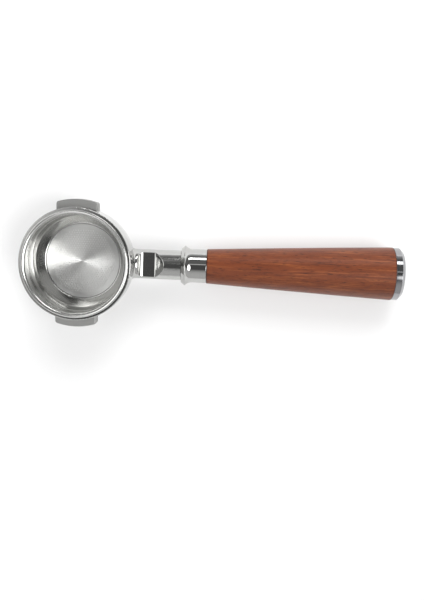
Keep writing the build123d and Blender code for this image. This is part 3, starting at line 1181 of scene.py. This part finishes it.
@dataclass
class Studio:
    """A white table, a camera over the handle, and strip lights that draw bands along the steel."""

    camera_place: tuple[float, float, float] = (0.1011, 0.0429, 0.4282)
    right: tuple[float, float, float] = (0.99797, 0.03957, -0.0498)
    down: tuple[float, float, float] = (0.04609, -0.98944, 0.13745)
    forward: tuple[float, float, float] = (-0.04383, -0.13947, -0.98926)
    lens: float = 44.21
    paper: str = "DCDCDC"
    paper_fibres_per_metre: float = 900.0
    table_half: float = 3.0
    glow: float = 0.25
    surround: float = 0.85
    # The surround's bands: degrees from overhead toward +Y, and brightness.
    bands: tuple[tuple[float, float], ...] = (
        (-180, 0.85), (-60, 0.8), (-43, 0.72), (-29, 0.45), (-19, 0.12),
        (4, 0.12), (18, 0.2), (72, 0.22), (86, 0.7), (100, 0.85))
    windows: tuple[Window, ...] = (
        Window(180, 25, 0.8, 15.0), Window(240, 33, 1.8, 14.0), Window(115, 42, 0.8, 16.0),
        Window(-15, 36, 8.0), Window(165, 34, 2.2))
    boxes: tuple[SoftBox, ...] = (
        SoftBox("key_strip", 56, 0.058, 0.75, 0.2, 5.0),
        SoftBox("thin_strip", 15, 0.06, 0.75, 0.05, 0.9),
        SoftBox("shadow_light", 48, -0.2, 0.4, 0.4, 6.5, reflected=False),
    )

    def camera(self) -> None:
        """Sets up the camera, whose axes are the view's right, up and back."""
        data = bpy.data.cameras.new("camera")
        data.lens = self.lens
        data.sensor_width = 36.0
        data.clip_start = 0.01
        camera = new_object("camera", data)
        axes = np.column_stack([self.right, -np.array(self.down), -np.array(self.forward), self.camera_place])
        camera.matrix_world = Matrix([*axes.tolist(), [0, 0, 0, 1]])
        bpy.context.scene.camera = camera

    def table(self) -> None:
        """A wide sheet of matt white paper at the lowest point of the part."""
        low, half = PACKED_BOX[0][2], self.table_half
        mesh = bpy.data.meshes.new("paper_table")
        corners = [(-half, -half, low), (half, -half, low), (half, half, low), (-half, half, low)]
        mesh.from_pydata(corners, [], [(0, 1, 2, 3)])
        paper, tree, place = blank_material("matt_paper")
        fibre = add_node(tree, "TexNoise", {
            "Vector": place, "Scale": self.paper_fibres_per_metre, "Detail": 3.0})
        lean = add_node(tree, "Bump", {"Height": fibre, "Distance": 0.01 * MM})
        shader = add_node(tree, "BsdfPrincipled", {
            "Base Color": linear(self.paper), "Roughness": 0.9, "Normal": lean,
            "Specular IOR Level": 0.1, "Emission Color": linear(self.paper), "Emission Strength": self.glow})
        add_node(tree, "OutputMaterial", {"Surface": shader})
        mesh.materials.append(paper)
        new_object("paper_table", mesh)

    def lights(self) -> None:
        """Hangs each strip along X, turned to face the part, and hides it from the camera."""
        for box in self.boxes:
            data = bpy.data.lights.new(box.name, "AREA")
            data.shape = "RECTANGLE"
            data.size = box.end - box.start
            data.size_y = box.width
            data.energy = box.power
            light = new_object(box.name, data)
            tilt = math.radians(box.toward_y_degrees)
            light.location = (
                (box.start + box.end) / 2, box.distance * math.sin(tilt),
                box.distance * math.cos(tilt) - box.aim_depth)
            light.rotation_euler = (-tilt, 0, 0)
            light.visible_camera = False
            light.visible_glossy = box.reflected

    def sky(self) -> None:
        """A soft surround: grey overhead and to one side, dark where the reflections need a dark band."""
        world = bpy.data.worlds.new("studio")
        bpy.context.scene.world = world
        world.use_nodes = True
        tree = world.node_tree
        tree.nodes.clear()
        way = add_node(tree, "TexCoord").outputs["Generated"]
        parts = add_node(tree, "SeparateXYZ", {0: way}).outputs
        lean = add_node(tree, "Math", {0: parts["Y"], 1: parts["Z"]}, operation="ARCTAN2")
        share = add_node(tree, "MapRange", {"Value": lean, "From Min": -math.pi, "From Max": math.pi})
        colour = add_node(tree, "ValToRGB", {0: share}, stops=[
            ((degrees + 180) / 360, (level, level, level, 1.0)) for degrees, level in self.bands])
        for window in self.windows:
            near = add_node(tree, "VectorMath", {0: way, 1: window.direction}, operation="DOT_PRODUCT")
            reach, core = window.reach_degrees, window.reach_degrees * window.core_share
            share = add_node(tree, "MapRange", {
                "Value": near, "From Min": math.cos(math.radians(reach)),
                "From Max": math.cos(math.radians(core))}, interpolation_type="SMOOTHSTEP")
            colour = add_node(tree, "Mix", {
                "Factor": share, "A": colour, "B": (window.level, window.level, window.level, 1.0)},
                data_type="RGBA")
        background = add_node(tree, "Background", {"Color": colour, "Strength": self.surround})
        add_node(tree, "OutputWorld", {"Surface": background})

    def build(self) -> None:
        """Builds the whole studio."""
        self.camera()
        self.table()
        self.lights()
        self.sky()
        bpy.context.scene.view_settings.view_transform = "Standard"


def main() -> None:
    """Builds every sub-assembly and the studio."""
    logging.basicConfig(level=logging.INFO, format="%(name)s: %(message)s")
    for assembly in (LockingRing(), FilterBasket(), Handle(), Studio()):
        assembly.build()


if __name__ == "__main__":
    main()
